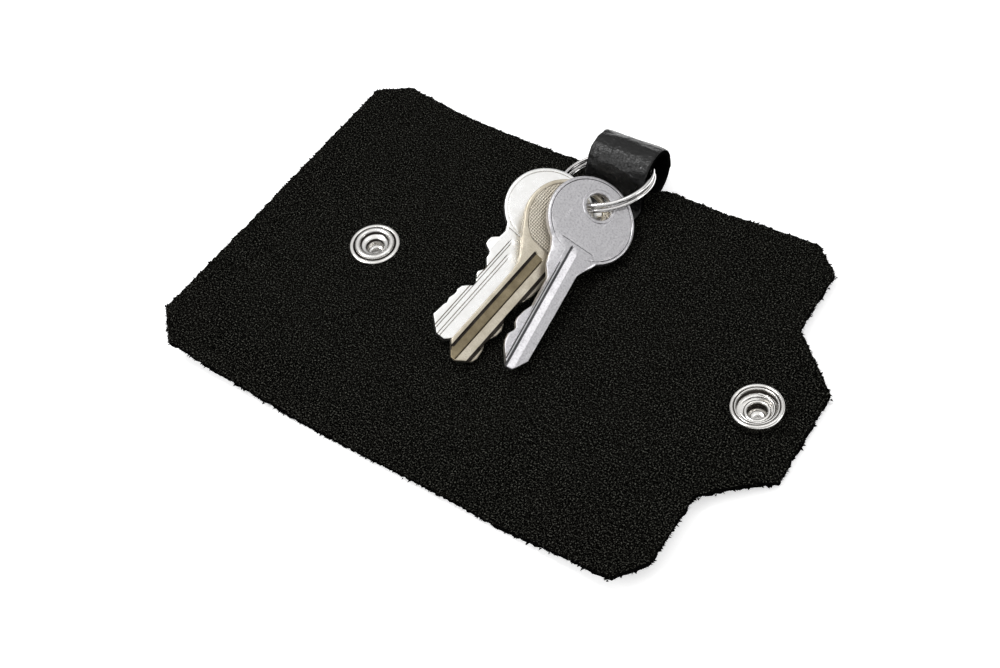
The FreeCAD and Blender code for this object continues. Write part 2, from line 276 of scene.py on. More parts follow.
def metal(name, color, worn, speckle, turn, dots, rough, bump, smudge=1.0):
    made, tree, shader, marks = startMaterial(name, metalGroup)
    marks.inputs["Speckle Scale"].default_value = speckle
    marks.inputs["Scratch Turn"].default_value = turn
    dulled = mapRange(tree, marks.outputs["Smudge"], *wear["smudgeEnds"], 0.0, smudge)
    tint = mixColor(tree, dulled, color, worn)
    dotted = math2(tree, "MULTIPLY", mapRange(tree, marks.outputs["Speckle"], *wear["speckleEnds"]), dots)
    tree.links.new(mixColor(tree, dotted, tint, worn), shader.inputs["Base Color"])
    shader.inputs["Metallic"].default_value = 1.0
    matte = mapRange(tree, marks.outputs["Smudge"], *wear["roughEnds"], *rough)
    scored = math2(tree, "MULTIPLY", marks.outputs["Scratch"], wear["scratchRough"])
    tree.links.new(math2(tree, "ADD", matte, scored), shader.inputs["Roughness"])
    cut = math2(tree, "MULTIPLY", marks.outputs["Scratch"], wear["scratchDeep"])
    addBump(tree, shader, math2(tree, "ADD", marks.outputs["Speckle"], cut), bump, wear["relief"])
    return made


def grey(level):
    return (level, level, level)


suedeFace = suede(
    "suedeFace", dark=grey(0.0), light=(0.0008, 0.0008, 0.0006), fibre=(0.145, 0.145, 0.125), bump=0.9,
)
suedeCut = suede("suedeCut", dark=grey(0.001), light=grey(0.003), fibre=(0.016, 0.016, 0.014), bump=0.6)
loopHide = hide(
    "loopHide", dark=grey(0.0015), light=grey(0.005), cells=85.0, creases=55.0,
    gloss=(0.2, 0.32), shine=0.34, bump=1.0, relief=0.00006,
)
backHide = hide(
    "backHide", dark=grey(0.003), light=grey(0.008), cells=70.0, creases=18.0,
    gloss=(0.36, 0.5), shine=0.35, bump=0.7, relief=0.00008,
)
platedMetal = metal(
    "platedMetal", color=(0.86, 0.85, 0.83), worn=(0.70, 0.68, 0.65),
    speckle=420.0, turn=0.9, dots=0.4, rough=(0.1, 0.2), bump=0.14,
)
# painted shade: a dark brownish metal put into grooves, hole walls, bores and the walls of key grooves,
# where shade falls
seamShade = metal(
    "seamShade", color=(0.07, 0.06, 0.052), worn=(0.025, 0.02, 0.017),
    speckle=600.0, turn=0.3, dots=0.5, rough=(0.45, 0.6), bump=0.3,
)
ringSteel = metal(
    "ringSteel", color=(0.90, 0.89, 0.88), worn=(0.76, 0.74, 0.73),
    speckle=800.0, turn=0.0, dots=0.2, rough=(0.05, 0.13), bump=0.06,
)
greyNickel = metal(
    "greyNickel", color=(0.70, 0.69, 0.71), worn=(0.46, 0.45, 0.47), smudge=0.3,
    speckle=200.0, turn=0.2, dots=0.9, rough=(0.28, 0.38), bump=0.35,
)
# painted shade: dark grey for the front key's grooves, pressed line and rim line
grooveShade = metal(
    "grooveShade", color=(0.12, 0.12, 0.125), worn=(0.07, 0.07, 0.075),
    speckle=520.0, turn=0.2, dots=0.5, rough=(0.32, 0.45), bump=0.3,
)
nickelSilver = metal(
    "nickelSilver", color=(0.77, 0.71, 0.59), worn=(0.56, 0.50, 0.39),
    speckle=300.0, turn=0.1, dots=0.9, rough=(0.3, 0.44), bump=0.3,
)
# brass tone of the middle key's groove floor, darkened as painted shade
grooveBrassShade = metal(
    "grooveBrassShade", color=(0.30, 0.25, 0.16), worn=(0.16, 0.13, 0.08),
    speckle=480.0, turn=0.1, dots=0.6, rough=(0.34, 0.5), bump=0.3,
)
brightNickel = metal(
    "brightNickel", color=(0.95, 0.95, 0.94), worn=(0.84, 0.83, 0.81),
    speckle=700.0, turn=0.2, dots=0.3, rough=(0.22, 0.34), bump=0.15,
)
# brownish tone on the rear key's groove walls, darkened as painted shade
grooveNickelShade = metal(
    "grooveNickelShade", color=(0.26, 0.23, 0.18), worn=(0.16, 0.13, 0.09),
    speckle=700.0, turn=0.2, dots=0.4, rough=(0.3, 0.4), bump=0.2,
)


# the middle key's bow is covered with rows of tiny raised dots
dotRows = {"scale": 172.0, "randomness": 0.12, "ends": (0.15, 0.45), "bump": 0.55, "relief": 0.0002}


def makeDottedSilver():
    made = metal(
        "dottedSilver", color=(0.72, 0.67, 0.57), worn=(0.60, 0.54, 0.44),
        speckle=480.0, turn=0.1, dots=0.5, rough=(0.32, 0.46), bump=0.3,
    )
    tree = made.node_tree
    rows = {"Vector": flatMap(tree), "Scale": dotRows["scale"], "Randomness": dotRows["randomness"]}
    distance = node(tree, "ShaderNodeTexVoronoi", rows).outputs["Distance"]
    raised = mapRange(tree, distance, *dotRows["ends"], 1.0, 0.0)
    addBump(tree, tree.nodes["Principled BSDF"], raised, dotRows["bump"], dotRows["relief"])
    return made


dottedSilver = makeDottedSilver()
print("materials made:", len(bpy.data.materials))


# a piece is given in millimetres; its flat map has one unit to 100 mm
flatUnit = 100.0
evenWeight = 80


def makePiece(name, points, faces, materials, flat, faceSlots=None, sharp=38.0, even=False):
    mesh = bpy.data.meshes.new(name)
    mesh.from_pydata([tuple(float(c) * mm for c in p) for p in points], [], faces)
    for material in materials:
        mesh.materials.append(material)
    if faceSlots is not None:
        mesh.polygons.foreach_set("material_index", np.array(faceSlots, np.int32))
    corners = np.empty(len(mesh.loops), np.int32)
    mesh.loops.foreach_get("vertex_index", corners)
    layer = mesh.uv_layers.new(name="flat")
    layer.data.foreach_set("uv", (np.array(flat, float)[corners] / flatUnit).ravel())
    mesh.polygons.foreach_set("use_smooth", np.ones(len(mesh.polygons), bool))
    mesh.set_sharp_from_angle(angle=math.radians(sharp))
    mesh.update()
    made = bpy.data.objects.new(name, mesh)
    scene.collection.objects.link(made)
    if even:      # flat faces stay flat under the light
        weighted = made.modifiers.new("evenFaces", "WEIGHTED_NORMAL")
        weighted.keep_sharp = True
        weighted.weight = evenWeight
    return made


def dress(piece, body, replaced, slot):
    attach(piece, body)
    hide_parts(replaced)


def smooth(t):
    t = np.clip(t, 0.0, 1.0)
    return t * t * (3.0 - 2.0 * t)


# leather blank: places along it run from the left edge, across it from the middle
blank = {
    "thick": 1.5,
    "half": 50.0,
    "corner": 6.85,
    "nearCut": 5.2,
    "tabRoot": 135.7,
    "tabTip": 148.8,
    "tabRootHalf": 24.65,
    "tabTipHalf": 12.35,
    "middle": 73.5,
    "reach": 78.0,
    "leftTurns": ((56.4, 6.0, 4.0), (40.0, -1.0, 4.0), (7.6, 13.0, 3.2)),
    "rightTurns": ((90.6, 2.5, 4.0), (111.9, 1.0, 4.0)),      # place, added angle, half width
    "farLift": (
        (0, 0.0), (10, -0.2), (20, -1.6), (27, -2.0), (35, -1.7), (42, -1.4), (50, -0.7), (60, 0.2),
        (86, 0.0), (90, 0.8), (96, 0.3), (104, 0.0), (112, 0.0), (120, -0.3), (130, -0.6), (150, -0.6),
    ),
    "nearLift": (
        (0, 0.8), (10, 1.0), (20, -0.2), (30, -0.3), (36, -0.9), (45, -0.9), (55, 0.0), (70, 0.8), (80, 1.2),
        (90, 1.4), (97, 0.8), (104, 0.5), (110, 0.9), (116, 1.9), (122, 2.5), (130, 2.8), (150, 2.8),
    ),
    "liftPower": 2.2,
    "droop": (141.0, 2.2, 1.7),      # the tab's end: where it starts, how far it drops, power of its curve
    "spineEase": (104.0, 8.0, 0.35),      # the right spine lies back, so the left edge clears it when shut
    "offFloor": 0.03,
    "swells": ((0.10, 11.0, 3.0), (0.04, 2.5, 8.0)),      # height, size, seed
    "ragged": (0.3, 1.1, 0.5),      # reach, size, share of what is added at random
    "holes": ((31.6, 0.0), (137.7, 0.0)),
    "holeReach": 4.1,
    "step": 0.7,
    "lineStep": 0.05,
    "innerRows": 40,
    "outerRows": 22,
    "sharp": 48.0,
}
rowLow = blank["outerRows"]
rowHigh = rowLow + blank["innerRows"]
rowLast = rowHigh + blank["outerRows"]

# loose fibres at the cut edges, some of them gathered in tufts
fringe = {
    "perMm": 16.0,
    "depthPower": 1.4,
    "lean": (0.7, 0.4),      # sideways, upwards
    "long": (0.18, 0.24, 1.0),      # least, mean of what is added, most
    "longer": (0.8, 2.2),      # patches of longer fibres: strength, size
    "wide": (0.04, 0.1),
    "along": 0.5,
    "rootIn": 0.1,
    "lowest": 0.02,
    "tuftShare": 0.10,
    "tuftDepths": (0.05, 0.95),
    "tuftLean": 0.7,
    "tuftLong": (0.15, 0.8),
    "tuftWide": (0.16, 0.42),
}


def restLine():
    step = blank["lineStep"]
    sides = []
    for direction, turns in ((-1, blank["leftTurns"]), (1, blank["rightTurns"])):
        along = np.arange(0.0, blank["reach"], step)
        place = blank["middle"] + direction * along
        angle = np.zeros_like(along)
        for at, added, wide in turns:
            angle += added * smooth((direction * (place - at) + wide) / (2 * wide))
        angle = np.radians(angle)
        x = direction * np.concatenate(([0.0], np.cumsum(np.cos(angle) * step)[:-1]))
        z = blank["thick"] + np.concatenate(([0.0], np.cumsum(np.sin(angle) * step)[:-1]))
        sides.append((place, x, z, -direction * np.sin(angle), np.cos(angle)))
    left, right = sides
    return [np.concatenate((a[::-1], b[1:])) for a, b in zip(left, right)]


lineAt, lineX, lineZ, lineNx, lineNz = restLine()


def liftOf(s, y):
    tables = (blank["farLift"], blank["nearLift"])
    far, near = [np.interp(s, [p for p, _ in t], [v for _, v in t]) for t in tables]
    at, wide, back = blank["spineEase"]
    ease = back * smooth(1.0 - np.abs(s - at) / wide)
    return np.where(y > 0, far, near) * (np.abs(y) / blank["half"]) ** blank["liftPower"] - ease


def leatherPoint(s, y, deep, swell):
    x, z, nx, nz = [np.interp(s, lineAt, line) for line in (lineX, lineZ, lineNx, lineNz)]
    bendAt, drop, power = blank["droop"]
    past = np.clip((s - bendAt) / (blank["tabTip"] - bendAt), 0.0, 1.1)
    z = z + liftOf(s, y) - drop * past ** power + swell
    z = np.maximum(z, blank["thick"] + blank["offFloor"])
    return [float(v) for v in (x - deep * nx, y, z - deep * nz)]


def halfAt(s, near):
    if s < blank["corner"]:
        return blank["half"] - blank["corner"] + s
    cut = blank["nearCut"] if near else blank["corner"]
    if s > blank["tabRoot"] - cut:
        return blank["half"] - (s - blank["tabRoot"] + cut) * blank["corner"] / cut
    return blank["half"]


# rows run across the blank: the inner ones narrow with the tab, the outer ones end at its root
def rowPlace(s, r):
    past = max(s - blank["tabRoot"], 0.0)
    narrows = blank["tabTipHalf"] - blank["tabRootHalf"]
    middle = blank["tabRootHalf"] + narrows * past / (blank["tabTip"] - blank["tabRoot"])
    if rowLow <= r <= rowHigh:
        return middle * (2 * (r - rowLow) / blank["innerRows"] - 1)
    if past > tiny:
        return None
    near = r < rowLow
    t = (rowLow - r if near else r - rowHigh) / blank["outerRows"]
    y = middle + (halfAt(s, near) - middle) * t
    return -y if near else y


def columnsFor(start, end):
    stops = [start, end]
    if start < blank["tabRoot"] < end:
        stops.insert(1, blank["tabRoot"])
    columns = [start]
    for a, b in zip(stops, stops[1:]):
        count = max(2, round((b - a) / blank["step"]))
        columns += [a + (b - a) * k / count for k in range(1, count + 1)]
    return columns


def atEdge(s, y, r):
    past = s - blank["tabRoot"]
    if abs(s) < tiny or abs(s - blank["tabTip"]) < tiny or r in (0, rowLast):
        return True
    if past > tiny and r in (rowLow, rowHigh):
        return True
    return past >= -tiny and abs(y) >= blank["tabRootHalf"] - tiny


def leatherPoints(columns, chance):
    points, flat, index = [], [], {}
    reach, size, share = blank["ragged"]
    for i, s in enumerate(columns):
        seam = i == 0 and s > tiny or i == len(columns) - 1 and s < blank["tabTip"] - tiny
        for r in range(rowLast + 1):
            y = rowPlace(s, r)
            if y is None:
                continue
            outside = atEdge(s, y, r)
            swell = 0.0
            for high, wide, seed in blank["swells"]:
                swell += high * noise.noise(Vector((s / wide, y / wide, seed)))
            for layer in ((0, 1, 2) if outside else (0, 2)):
                deep = blank["thick"] * layer / 2
                shift = [0.0, 0.0]
                if outside:
                    for axis, seed in enumerate((20.0, 40.0)):
                        worn = reach * noise.noise(Vector((s / size, y / size, seed + layer)))
                        torn = reach * share * chance.uniform(-1, 1)
                        shift[axis] = 0.0 if seam else worn + torn
                atS, atY = s + shift[0], y + shift[1]
                index[i, r, layer] = len(points)
                points.append(leatherPoint(atS, atY, deep, swell))
                flat.append((atS + (deep if outside else 0.0), atY + 0.6 * deep))
    return points, flat, index


def leatherFaces(columns, index):
    faces, slots = [], []
    for i in range(len(columns) - 1):
        for r in range(rowLast):
            patch = ((i, r), (i + 1, r), (i + 1, r + 1), (i, r + 1))
            if not all((a, b, 0) in index for a, b in patch):
                continue
            across = (rowPlace(columns[i], r) + rowPlace(columns[i], r + 1)) / 2
            at = (columns[i] + columns[i + 1]) / 2, across
            if min(math.dist(at, hole) for hole in blank["holes"]) < blank["holeReach"]:
                continue
            faces.append([index[a, b, 0] for a, b in patch])
            faces.append([index[a, b, 2] for a, b in reversed(patch)])
            slots += [0, 1]
    return faces, slots


# pairs of neighbours along the cut edge, with the leather on their left
def borderOf(columns):
    root = blank["tabRoot"]
    last = len(columns) - 1
    border = []
    for i in range(last):
        low, high = (rowLow, rowHigh) if columns[i] > root - tiny else (0, rowLast)
        border.append(((i, low), (i + 1, low)))
        border.append(((i + 1, high), (i, high)))
    if columns[0] < tiny:
        border += [((0, r + 1), (0, r)) for r in range(rowLast)]
    if columns[-1] > root:
        rootColumn = min(range(len(columns)), key=lambda i: abs(columns[i] - root))
        shoulders = [*range(rowLow), *range(rowHigh, rowLast)]
        border += [((rootColumn, r), (rootColumn, r + 1)) for r in shoulders]
        border += [((last, r), (last, r + 1)) for r in range(rowLow, rowHigh)]
    return border


def fibreAt(aTop, bTop, aLow, longer, chance):
    run = bTop - aTop
    along = run.normalized()
    out = run.cross(aTop - aLow).normalized()
    tufted = chance.random() < fringe["tuftShare"]
    t = chance.random()
    u = chance.choice(fringe["tuftDepths"]) if tufted else chance.random() ** fringe["depthPower"]
    base = aTop.lerp(bTop, t).lerp(aLow + run * t, u)
    side, rise = fringe["lean"]
    lean = Vector((chance.gauss(0, side), chance.gauss(0, side), abs(chance.gauss(0, rise))))
    least, added, most = fringe["long"]
    long = min(least + chance.expovariate(1 / added) * longer, most)
    if tufted:
        ahead = (out + along * lean.x * fringe["tuftLean"]).normalized()
        long = chance.uniform(*fringe["tuftLong"])
        wide = along * chance.uniform(*fringe["tuftWide"])
    else:
        ahead = (out + lean).normalized()
        wide = (out.cross(lean) + along * fringe["along"]).normalized() * chance.uniform(*fringe["wide"])
    root = base - out * fringe["rootIn"]
    corners = (root - wide, root + wide, base + ahead * long)
    return base, [(v.x, v.y, max(v.z, fringe["lowest"])) for v in corners]


def buildFringe(name, border, points, index, chance):
    fibres, flat, faces = [], [], []
    strength, size = fringe["longer"]
    for a, b in border:
        aTop, bTop, aLow = [Vector(points[index[spot]]) for spot in ((*a, 0), (*b, 0), (*a, 2))]
        longer = 1.0 + strength * noise.noise(aTop / size)
        for _ in range(int((bTop - aTop).length * fringe["perMm"] + chance.random())):
            base, corners = fibreAt(aTop, bTop, aLow, longer, chance)
            faces.append(tuple(range(len(fibres), len(fibres) + 3)))
            fibres += corners
            flat += [(base.x, base.y)] * 3
    return makePiece(name, fibres, faces, [suedeCut], flat)


def buildLeather(name, start, end, bodies, joint, turnWide, nodesFor, seed):
    chance = random.Random(seed)
    columns = columnsFor(start, end)
    points, flat, index = leatherPoints(columns, chance)
    faces, slots = leatherFaces(columns, index)
    border = borderOf(columns)
    for a, b in border:
        for layer in (0, 1):
            spots = ((*a, layer + 1), (*b, layer + 1), (*b, layer), (*a, layer))
            faces.append([index[spot] for spot in spots])
            slots.append(2)
    materials = [suedeFace, backHide, suedeCut]
    skin = makePiece(name, points, faces, materials, flat, slots, blank["sharp"])
    fibres = buildFringe(name + "Fringe", border, points, index, chance)
    away = 1.0 if bodies[1].startswith("right") else -1.0
    at = jointAt[joint]
    begin, finish = [Vector((at.x + away * turnWide * sign, 0, at.z)) * mm for sign in (-1, 1)]
    for piece in (skin, fibres):
        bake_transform(piece)
        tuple(begin)
        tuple(finish)
    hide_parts(*nodesFor)


leatherPieces = (      # name, start, end, bodies, joint, half width of the bend, nodes, seed
    (
        "leatherMiddleLeft", 48.2, 73.5, ("middle", "left_spine"),
        "left_fold", 4.0, ("middle_panel", "left_spine"), 1,
    ),
    ("leatherLeft", 23.8, 48.2, ("left_spine", "left_panel"), "left_fold_outer", 4.0, ("left_panel",), 2),
    ("leatherLeftEdge", 0.0, 23.8, ("left_panel", "left_edge"), "left_edge_curl", 3.2, ("left_edge",), 3),
    ("leatherMiddleRight", 73.5, 101.25, ("middle", "right_spine"), "right_fold", 4.0, ("right_spine",), 4),
    (
        "leatherRight", 101.25, blank["tabTip"], ("right_spine", "right_panel"),
        "right_fold_outer", 4.0, ("right_panel",), 5,
    ),
)
for leatherPiece in leatherPieces:
    buildLeather(*leatherPiece)
print("leather built")


# sweeps a closed section along a path; each station gives a centre and two axes
def sweep(name, stations, section, materials, flatOf, sharp, slotOf=lambda k: 0):
    count = len(section)
    points, flat, faces, slots = [], [], [], []
    for i, (centre, across, outward) in enumerate(stations):
        for k, (u, v) in enumerate(section):
            points.append(tuple(centre + across * u + outward * v))
            flat.append(flatOf(i, k, u, v))
    for i in range(len(stations) - 1):
        for k in range(count):
            m = (k + 1) % count
            faces.append((i * count + k, i * count + m, (i + 1) * count + m, (i + 1) * count + k))
            slots.append(slotOf(k))
    faces.append(tuple(reversed(range(count))))
    faces.append(tuple(range((len(stations) - 1) * count, len(stations) * count)))
    slots += [len(materials) - 1] * 2
    return makePiece(name, points, faces, materials, flat, slots, sharp)


def aheadAt(path, i):
    return (path[min(i + 1, len(path) - 1)] - path[max(i - 1, 0)]).normalized()


def roundWire(wire, sides):
    turns = [2 * math.pi * k / sides for k in range(sides)]
    return [(wire / 2 * math.cos(a), wire / 2 * math.sin(a)) for a in turns]


# loop: a strap that leaves the top edge, arches over and is riveted down inside
loop = {
    "width": 17.0,
    "thick": 1.5,
    "bore": 5.5,
    "x": 3.5,
    "y": 49.3,
    "rootMiddle": 0.9,
    "rootRun": ((46.5, 0.78), (48.4, 0.78)),
    "startTurn": -84.0,
    "turnSteps": 64,
    "downSteps": 5,
    "footY": 41.0,
    "footEase": ((0.35, 0.02), (1.2, 0.0)),
    "footRun": (38.5, 36.4, 34.5, 33.2, 32.5),
    "edgeRound": 0.45,
    "across": 44,
    "around": 8,
    "grainFrom": 0.3,      # share of the thickness above which the grain shows
    "wrinkle": 0.18,
    "creases": ((1.0, 3.4, 1.6, 5.0), (0.5, 1.3, 0.9, 0.0)),      # strength, size across, size along, shift
    "wrinkleFrom": 41.5,
    "wrinkleRise": (2.0, 2.5),
    "sharp": 60.0,
}


def loopPath():
    middle = loop["bore"] + loop["thick"] / 2
    z = loop["rootMiddle"] + math.sqrt(middle ** 2 - (blank["half"] - loop["y"]) ** 2)
    foot = blank["thick"] + loop["thick"] / 2
    runY, runZ = loop["footY"] - loop["y"], foot - z
    lean = math.atan2(runZ, runY) - math.acos(middle / math.hypot(runY, runZ)) + 2 * math.pi
    begin = math.radians(loop["startTurn"])
    path = [Vector((0, *p)) for p in loop["rootRun"]]
    for k in range(loop["turnSteps"] + 1):
        a = begin + (lean - begin) * k / loop["turnSteps"]
        path.append(Vector((0, loop["y"] + middle * math.cos(a), z + middle * math.sin(a))))
    last = path[-1]
    end = Vector((0, loop["footY"], foot))
    path += [last.lerp(end, k / loop["downSteps"]) for k in range(1, loop["downSteps"])]
    path += [Vector((0, loop["footY"] - back, foot + rise)) for back, rise in loop["footEase"]]
    path += [Vector((0, y, foot)) for y in loop["footRun"]]
    return path


def roundedBar(width, thick, radius, across, around):
    flat, high = width / 2 - radius, thick / 2
    run = [-flat + 2 * flat * k / across for k in range(across + 1)]
    turns = [math.pi / 2 - math.pi * k / around for k in range(1, around)]
    half = [(u, high) for u in run] + [(flat + radius * math.cos(a), high * math.sin(a)) for a in turns]
    return half + [(-u, -v) for u, v in half]


# soft creases over the bend
def wrinkleLoop(mesh):
    start, wide = loop["wrinkleRise"]
    for point in mesh.vertices:
        p = point.co / mm
        if p.y < loop["wrinkleFrom"]:
            continue
        crease = 0.0
        for strength, across, along, shift in loop["creases"]:
            crease += strength * noise.noise(Vector((p.x / across, p.y / along, p.z / along + shift)))
        share = float(smooth((p.z - start) / wide))
        point.co += point.normal * crease * share * loop["wrinkle"] * mm
    mesh.update()


def buildLoop():
    path = loopPath()
    lengths = [0.0]
    for a, b in zip(path, path[1:]):
        lengths.append(lengths[-1] + (b - a).length)
    stations = []
    for i, p in enumerate(path):
        outward = axisX.cross(aheadAt(path, i)) * -1
        stations.append((p + axisX * loop["x"], axisX, outward))
    section = roundedBar(loop["width"], loop["thick"], loop["edgeRound"], loop["across"], loop["around"])
    grainSide = loop["thick"] * loop["grainFrom"]

    def slotOf(k):
        heights = (section[k][1], section[(k + 1) % len(section)][1])
        return 0 if min(heights) > grainSide else 1

    def flatOf(i, k, u, v):
        return u + (40 if v < 0 else 0), lengths[i]

    made = sweep("loopStrap", stations, section, [loopHide, suedeCut], flatOf, loop["sharp"], slotOf)
    wrinkleLoop(made.data)
    dress(made, "middle", "key_loop", "loop_leather")


buildLoop()
print("loop built")


# split ring: two turns of round wire that cross inside the loop
ring = {
    "radius": 11.7,
    "pastAxis": 3.7,
    "wire": 1.1,
    "pitch": 1.48,
    "slope": 8.0,
    "tilt": 12.5,
    "cross": 30.0,
    "endGap": 4.0,
    "steps": 420,
    "sides": 22,
    "sideFlat": 0.157,
    "sharp": 50.0,
}


def buildRing():
    slope, tilt = math.radians(ring["slope"]), math.radians(ring["tilt"])
    front = Vector((0, -math.cos(slope), math.sin(slope)))
    upright = Vector((0, math.sin(slope), math.cos(slope)))
    side = axisX * math.cos(tilt) + upright * math.sin(tilt)
    ringUp = upright * math.cos(tilt) - axisX * math.sin(tilt)
    middle = jointAt["ring_swing"] + front * (ring["radius"] - ring["pastAxis"])
    begin = -360.0 + ring["cross"] + ring["endGap"]
    path = []
    for k in range(ring["steps"] + 1):
        by = begin * (1 - 2 * k / ring["steps"])
        rise = ring["pitch"] * float(smooth((by + ring["cross"]) / (2 * ring["cross"])) - 0.5)
        a = math.radians(180 + by)
        path.append(middle + (front * math.cos(a) + side * math.sin(a)) * ring["radius"] + ringUp * rise)
    stations = []
    for i, p in enumerate(path):
        ahead = aheadAt(path, i)
        out = (p - middle).normalized()
        out = (out - ahead * out.dot(ahead)).normalized()
        stations.append((p, ahead.cross(out), out))
    stride = (path[1] - path[0]).length

    def flatOf(i, k, u, v):
        return k * ring["sideFlat"], i * stride

    section = roundWire(ring["wire"], ring["sides"])
    made = sweep("ringWire", stations, section, [ringSteel], flatOf, ring["sharp"])
    dress(made, "ring", "split_ring", "ring_steel")


buildRing()
print("ring built")


# turned parts: a profile of radius and height, rounded a little and spun
def rounded(profile, times, closed=True):
    for _ in range(times):
        out = []
        pairs = zip(profile, profile[1:] + profile[:1]) if closed else zip(profile, profile[1:])
        for (r0, z0), (r1, z1) in pairs:
            out.append((r0 * 0.75 + r1 * 0.25, z0 * 0.75 + z1 * 0.25))
            out.append((r0 * 0.25 + r1 * 0.75, z0 * 0.25 + z1 * 0.75))
        profile = out if closed else [profile[0]] + out + [profile[-1]]
    return profile


# boxes of radius and height that get painted shade: a dark metal in grooves, hole walls and bores
def spin(name, profile, placed, sides=96, shadeBoxes=(), closed=True):
    points, flat, faces, slots = [], [], [], []
    count = len(profile)
    far = [0.0]
    for (r0, z0), (r1, z1) in zip(profile, profile[1:]):
        far.append(far[-1] + math.hypot(r1 - r0, z1 - z0))
    for k in range(sides):
        a = 2 * math.pi * k / sides
        for j, (r, z) in enumerate(profile):
            points.append(tuple(placed @ Vector((r * math.cos(a), r * math.sin(a), z))))
            flat.append((r * math.cos(a) + 20, r * math.sin(a) + far[j] * 0.2))
    for k in range(sides):
        m = (k + 1) % sides
        for j in range(count if closed else count - 1):
            n = (j + 1) % count
            faces.append((k * count + j, m * count + j, m * count + n, k * count + n))
            r, z = (profile[j][0] + profile[n][0]) / 2, (profile[j][1] + profile[n][1]) / 2
            slots.append(int(any(a < r < b and low < z < high for a, b, low, high in shadeBoxes)))
    return makePiece(name, points, faces, [platedMetal, seamShade], flat, slots, sharp=34.0)


def seat(joint, along, degrees, direction):
    tilt = math.radians(degrees)
    at = jointAt[joint] + Vector((direction * math.cos(tilt), 0, math.sin(tilt))) * along
    return Matrix.Translation(at) @ Matrix.Rotation(-direction * tilt, 4, "Y")


stud = {"fromFold": 8.4, "tilt": 5.0, "washer": 6.4, "bore": 1.9, "knobLong": 2.1}
socket = {"fromFold": 25.8, "tilt": 3.5, "radius": 5.95, "height": 2.8}
spring = {
    "wire": 0.55,
    "radius": 3.68,
    "belowTop": 1.15,
    "dip": 0.25,
    "turns": range(-128, 113, 5),
    "sides": 14,
    "sharp": 50.0,
}
rivet = {"y": 36.4, "sides": 64}
axisR = 0.003      # an open profile starts and ends almost on its axis
low = -blank["thick"]      # the leather's outside face, where the parts below it start


def buildStud():
    at = seat("left_fold_outer", stud["fromFold"], stud["tilt"], -1)
    r, b = stud["washer"], stud["bore"]
    eyelet = [
        (b + 0.28, -1.9), (b + 0.28, -0.75), (b + 0.42, -0.5), (b + 0.75, -0.32), (b + 1.15, -0.22),
        (b + 1.5, -0.05), (b + 1.62, 0.2), (b + 1.75, 0.62), (b + 2.05, 0.88), (b + 2.5, 0.95),
        (b + 2.95, 0.8), (b + 3.15, 0.45), (b + 3.2, -0.05), (b + 3.46, -0.05), (b + 3.52, 0.3),
        (b + 3.66, 0.44), (r - 0.35, 0.46), (r - 0.05, 0.3), (r, 0.08), (r - 0.1, -0.1),
        (b + 0.7, -0.62), (b + 0.5, -1.9),
    ]
    # painted shade in the groove by the washer, on the funnel wall and in the hole
    shadeBoxes = (
        (b + 3.15, b + 3.52, -0.07, 0.4), (b + 1.43, b + 1.76, -0.3, 0.58), (b + 0.2, b + 0.38, -1.5, -0.6),
    )
    made = spin("studEyelet", rounded(eyelet, 2), at, shadeBoxes=shadeBoxes)
    dress(made, "left_panel", "snap_eyelet", "plated_metal")
    foot = low - stud["knobLong"]
    knob = [
        (axisR, foot + 0.4), (2.28, foot + 0.4), (2.28, low - 0.02), (4.7, low - 0.02), (4.8, low - 0.2),
        (4.5, low - 0.44), (3.1, low - 0.5), (2.6, low - 0.62), (2.5, foot + 0.75), (2.95, foot + 0.55),
        (3.0, foot + 0.3), (2.75, foot + 0.05), (2.2, foot), (axisR, foot + 0.04),
    ]
    made = spin("studKnob", rounded(knob, 2, False), at, closed=False)
    dress(made, "left_panel", "snap_stud", "plated_metal")


# one open ring of wire that grips the knob
def buildSpring(at):
    height = socket["height"] - spring["belowTop"]
    path = []
    for a in map(math.radians, spring["turns"]):
        x, y = spring["radius"] * math.cos(a), spring["radius"] * math.sin(a)
        path.append(Vector((x, y, height - spring["dip"] * math.cos(a))))
    turn = at.to_3x3()
    stations = [(at @ p, turn @ aheadAt(path, i).cross(axisZ), turn @ axisZ) for i, p in enumerate(path)]

    def flatOf(i, k, u, v):
        return k * 0.12 + 30, i * 0.7

    section = roundWire(spring["wire"], spring["sides"])
    made = sweep("socketSpring", stations, section, [platedMetal], flatOf, spring["sharp"])
    dress(made, "right_panel", "snap_spring", "plated_metal")


